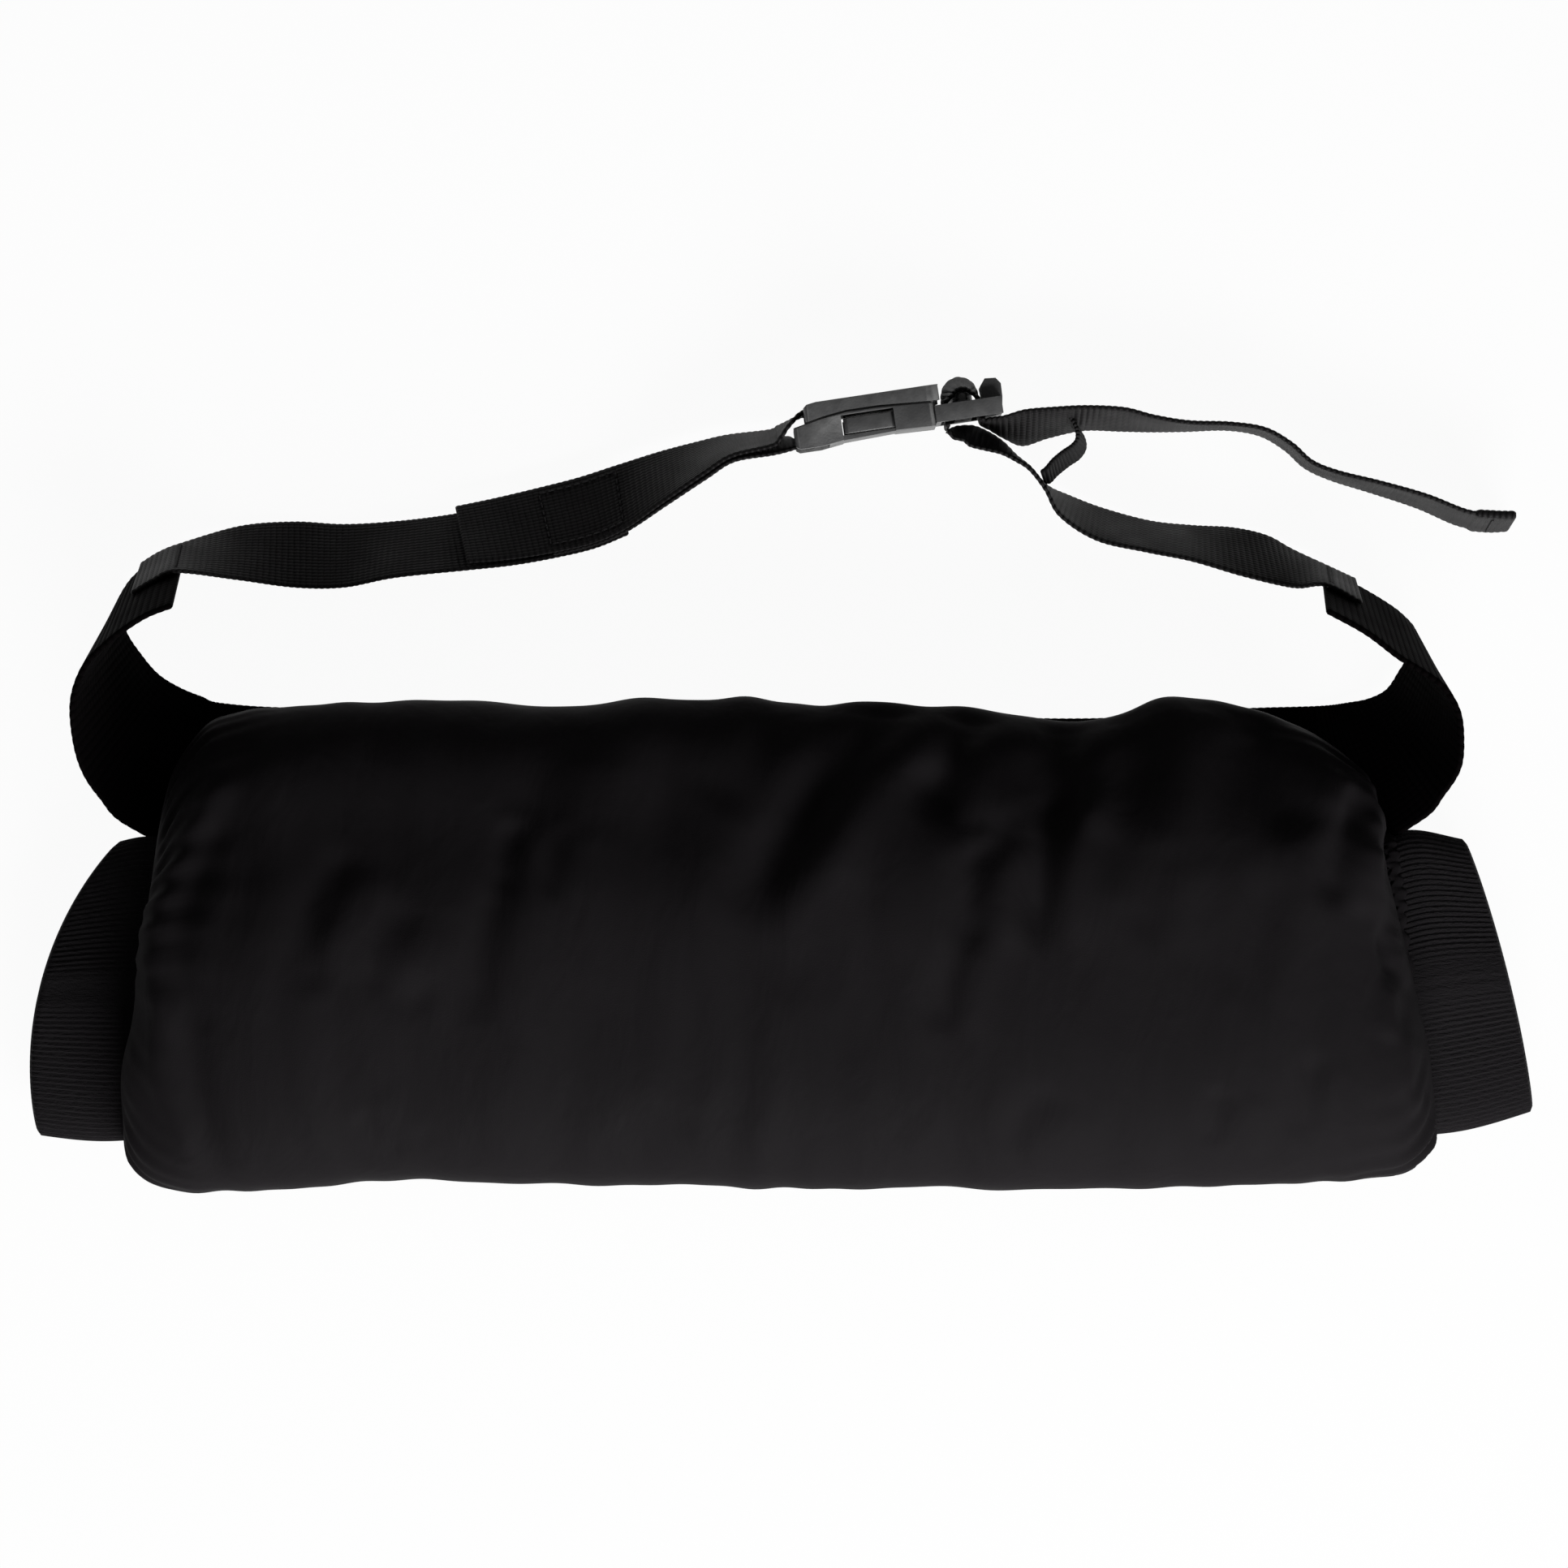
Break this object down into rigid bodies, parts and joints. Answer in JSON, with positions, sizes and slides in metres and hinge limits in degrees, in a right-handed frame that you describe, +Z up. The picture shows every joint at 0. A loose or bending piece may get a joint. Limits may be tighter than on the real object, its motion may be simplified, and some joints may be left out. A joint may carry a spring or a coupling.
{
  "type": "hand warmer muff",
  "caption": "padded tubular hand warmer muff with ribbed knit cuffs and an adjustable waist belt closed by a side-release buckle",
  "frame": {"origin": "on the floor under the middle of the muff, on the flat that it rests on", "axes": "+X runs along the muff towards the belt's adjuster side, +Y points from the muff towards the buckle, +Z is up"},
  "size_m": [0.4714, 0.2546, 0.0726],
  "materials": {
    "shell_fabric": "black satin woven nylon, softly wrinkled",
    "binding_tape": "black folded hem of the shell fabric",
    "wadding": "white polyester wadding",
    "fleece": "black brushed fleece",
    "knitted_cuff": "black rib knit",
    "band_elastic": "black wide woven elastic",
    "webbing": "black ribbed webbing",
    "keeper_tape": "black narrow elastic",
    "buckle_plastic": "black moulded acetal, lightly grained",
    "thread": "black sewing thread"
  },
  "bodies": {
    "root": {"outer_shell": "shell_fabric", "left_binding": "binding_tape", "right_binding": "binding_tape", "wadding": "wadding", "fleece_lining": "fleece", "left_cuff": "knitted_cuff", "right_cuff": "knitted_cuff", "waist_band": "band_elastic", "left_strap": "webbing", "buckle_strap": "webbing", "right_strap": "webbing", "strap_keeper": "keeper_tape", "buckle_housing": "buckle_plastic", "overlap_box_stitch": "thread", "left_band_tack": "thread", "right_band_tack": "thread", "keeper_tack": "thread", "left_band_stitching": "thread", "right_band_stitching": "thread"},
    "latch": {"latch_frame": "buckle_plastic", "tail_strap": "webbing", "tail_tack": "thread"},
    "prong_upper": {"latch_prong_upper": "buckle_plastic"},
    "prong_lower": {"latch_prong_lower": "buckle_plastic"}
  },
  "joints": [
    {"name": "buckle_slide", "type": "slide", "parent": "root", "child": "latch", "axis": [0.9893, 0.1461, 0], "range_m": [0, 0.03]},
    {"name": "upper_prong_press", "type": "hinge", "parent": "latch", "child": "prong_upper", "pos_m": [0.04408, 0.16577, 0.0255], "axis": [-0.1461, 0.9893, 0], "range_deg": [-8, 0], "stiffness_Nm_per_rad": 0.02},
    {"name": "lower_prong_press", "type": "hinge", "parent": "latch", "child": "prong_lower", "pos_m": [0.04408, 0.16577, 0.0075], "axis": [-0.1461, 0.9893, 0], "range_deg": [0, 8], "stiffness_Nm_per_rad": 0.02}
  ],
  "couplings": [
    {"joint": "lower_prong_press", "follows": "upper_prong_press", "ratio": -1}
  ]
}
